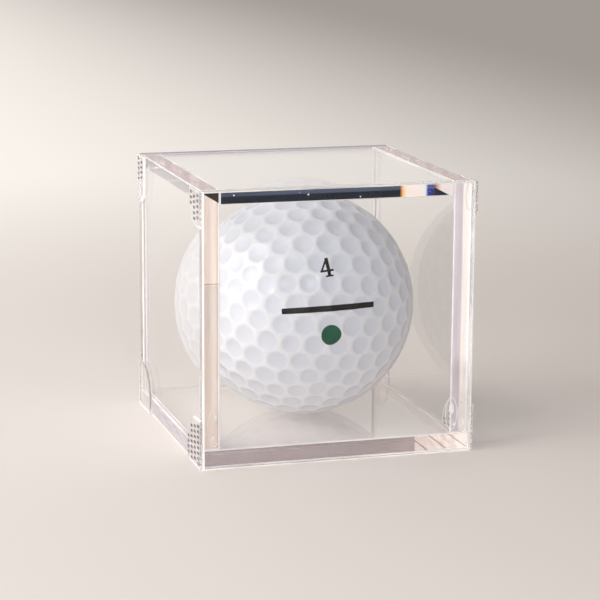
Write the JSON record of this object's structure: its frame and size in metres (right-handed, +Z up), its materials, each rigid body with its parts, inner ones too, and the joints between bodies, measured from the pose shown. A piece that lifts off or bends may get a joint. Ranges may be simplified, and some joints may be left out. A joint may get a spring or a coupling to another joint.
{
  "type": "golf ball display case",
  "caption": "Clear plastic display cube that holds a dimpled ball: a lift-off cover drops between the front and back plates of a base with stippled corner tabs.",
  "frame": {"origin": "centre of the underside of the case", "axes": "+X to the right along the front plate, +Y from the front to the back, +Z up"},
  "size_m": [0.0524, 0.0516, 0.0504],
  "materials": {
    "clear_plate": "polished clear plastic with bright edges",
    "stippled_tab": "clear plastic with a stippled face",
    "ball_white": "glossy white paint over a moulded dimpled cover",
    "ball_mantle": "plain moulded layer, not seen",
    "ball_core": "solid rubber, not seen"
  },
  "bodies": {
    "base": {"floor_panel": "clear_plate", "front_panel": "clear_plate", "back_panel": "clear_plate", "tab_front_left_lower": "stippled_tab", "tab_front_right_lower": "stippled_tab", "tab_back_left_lower": "stippled_tab", "tab_back_right_lower": "stippled_tab", "tab_front_left_upper": "stippled_tab", "tab_front_right_upper": "stippled_tab", "tab_back_left_upper": "stippled_tab", "tab_back_right_upper": "stippled_tab"},
    "cover": {"top_panel": "clear_plate", "left_panel": "clear_plate", "right_panel": "clear_plate"},
    "ball": {"ball_cover": "ball_white", "ball_mantle": "ball_mantle", "ball_core": "ball_core"}
  },
  "joints": [
    {"name": "cover_lift", "type": "slide", "parent": "base", "child": "cover", "axis": [0, 0, 1], "range_m": [0, 0.11]},
    {"name": "ball_lift", "type": "slide", "parent": "base", "child": "ball", "axis": [0, 0, 1], "range_m": [0, 0.055]}
  ],
  "couplings": [
    {"joint": "ball_lift", "follows": "cover_lift", "ratio": 0.5}
  ]
}
